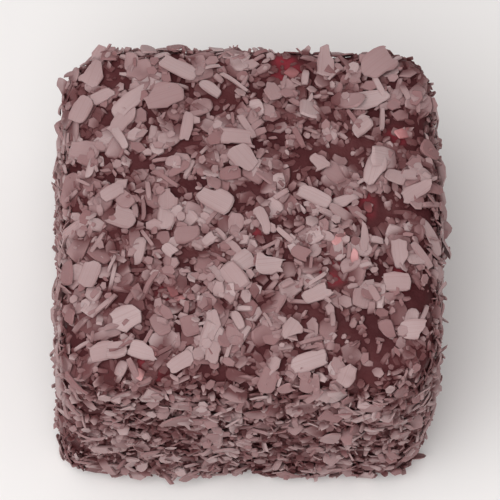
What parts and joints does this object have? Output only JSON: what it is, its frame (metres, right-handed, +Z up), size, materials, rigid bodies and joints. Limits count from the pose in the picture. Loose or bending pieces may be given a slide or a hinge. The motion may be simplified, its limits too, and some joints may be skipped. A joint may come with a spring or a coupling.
{
  "type": "lamington cake",
  "caption": "Small square block of sponge cake, dipped in chocolate icing and coated all over in pale coconut flakes, with soft rounded edges and a low uneven top.",
  "frame": {"origin": "on the ground, under the middle of the cake", "axes": "+Z up, +X to the right along the front, the front face looks along -Y"},
  "size_m": [0.0462, 0.0448, 0.0356],
  "materials": {
    "chocolate_icing": "thin dark red-brown chocolate icing soaked into sponge, slightly moist",
    "coconut": "dry off-white desiccated coconut, matte and a little translucent"
  },
  "bodies": {
    "root": {"cake": "chocolate_icing"}
  },
  "joints": []
}
